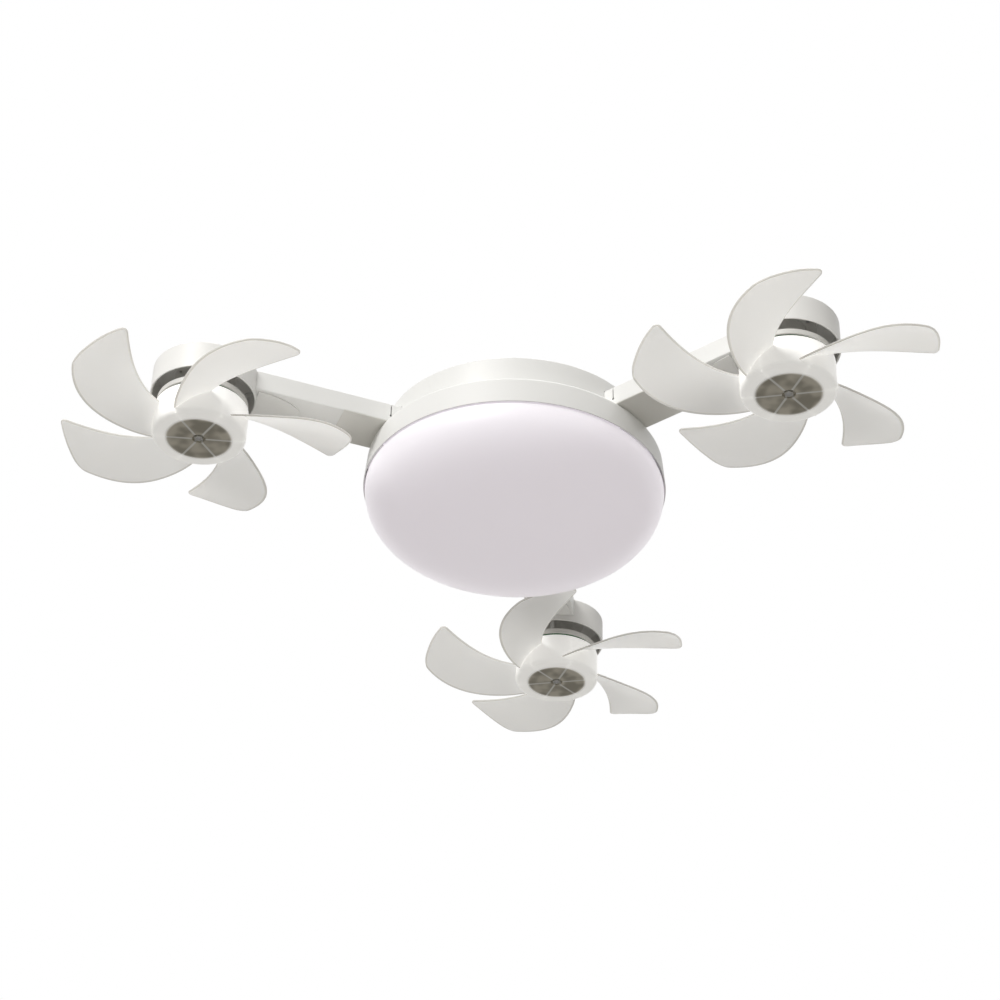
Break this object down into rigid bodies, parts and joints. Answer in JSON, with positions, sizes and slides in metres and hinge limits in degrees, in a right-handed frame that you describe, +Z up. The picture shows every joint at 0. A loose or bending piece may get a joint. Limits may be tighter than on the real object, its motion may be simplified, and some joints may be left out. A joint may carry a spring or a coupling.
{
  "type": "three-head ceiling fan with light",
  "caption": "Flush ceiling fan: a round central light carries radial arms, each ending in a cup with an outer-rotor motor and a small bladed impeller facing down.",
  "frame": {"origin": "on the ceiling plane, on the axis of the light, midway between the two ceiling screws", "axes": "+Z up into the ceiling; +Y along the first arm; the other arms at 120 degrees to it"},
  "size_m": [0.844, 0.7626, 0.1359],
  "materials": {
    "white_paint": "satin white powder coat",
    "cup_paint": "satin white powder coat, bare inside",
    "cover_plastic": "fine matt",
    "zinc_steel": "zinc plated",
    "bearing_steel": "ground",
    "core_steel": "stacked laminations",
    "bell_steel": "dull dark coating",
    "bare_aluminium": "white-coated reflector face",
    "opal_diffuser": "milky, satin",
    "frosted_blade": "frosted, slightly translucent",
    "base_plastic": "moulded",
    "box_white": "moulded",
    "terminal_plastic": "moulded",
    "board_green": "lacquered board",
    "copper_wire": "enamelled copper",
    "magnet_dark": "bonded ferrite",
    "diode_yellow": "phosphor",
    "lead_jacket": "soft white jacket"
  },
  "bodies": {
    "root": {"ceiling_bracket": "zinc_steel", "canopy": "white_paint", "canopy_screws": "zinc_steel", "shell_screws": "zinc_steel", "lower_shell": "white_paint", "led_plate": "bare_aluminium", "led_chips": "diode_yellow", "led_screws": "zinc_steel", "led_driver": "box_white", "fan_controller": "box_white", "terminal_block": "terminal_plastic", "arm_screws": "zinc_steel", "cup_screws": "zinc_steel", "base_screws": "zinc_steel", "arm_1": "white_paint", "arm_cover_1": "cover_plastic", "head_cup_1": "cup_paint", "motor_base_1": "base_plastic", "stator_1": "core_steel", "windings_1": "copper_wire", "motor_board_1": "board_green", "bearings_1": "bearing_steel", "motor_lead_1": "lead_jacket", "arm_2": "white_paint", "arm_cover_2": "cover_plastic", "head_cup_2": "cup_paint", "motor_base_2": "base_plastic", "stator_2": "core_steel", "windings_2": "copper_wire", "motor_board_2": "board_green", "bearings_2": "bearing_steel", "motor_lead_2": "lead_jacket", "arm_3": "white_paint", "arm_cover_3": "cover_plastic", "head_cup_3": "cup_paint", "motor_base_3": "base_plastic", "stator_3": "core_steel", "windings_3": "copper_wire", "motor_board_3": "board_green", "bearings_3": "bearing_steel", "motor_lead_3": "lead_jacket"},
    "rotor_1": {"rotor_bell_1": "bell_steel", "magnets_1": "magnet_dark", "shaft_1": "bearing_steel", "impeller_1": "frosted_blade", "hub_nut_1": "zinc_steel"},
    "rotor_2": {"rotor_bell_2": "bell_steel", "magnets_2": "magnet_dark", "shaft_2": "bearing_steel", "impeller_2": "frosted_blade", "hub_nut_2": "zinc_steel"},
    "rotor_3": {"rotor_bell_3": "bell_steel", "magnets_3": "magnet_dark", "shaft_3": "bearing_steel", "impeller_3": "frosted_blade", "hub_nut_3": "zinc_steel"},
    "diffuser": {"diffuser": "opal_diffuser"}
  },
  "joints": [
    {"name": "fan_spin_1", "type": "hinge", "parent": "root", "child": "rotor_1", "pos_m": [0, 0.3236, -0.0775], "axis": [0, 0, 1], "continuous": true},
    {"name": "fan_spin_2", "type": "hinge", "parent": "root", "child": "rotor_2", "pos_m": [-0.28025, -0.1618, -0.0775], "axis": [0, 0, 1], "continuous": true},
    {"name": "fan_spin_3", "type": "hinge", "parent": "root", "child": "rotor_3", "pos_m": [0.28025, -0.1618, -0.0775], "axis": [0, 0, 1], "continuous": true},
    {"name": "diffuser_twist", "type": "hinge", "parent": "root", "child": "diffuser", "pos_m": [0, 0, -0.0685], "axis": [0, 0, 1], "range_deg": [0, 20]}
  ]
}
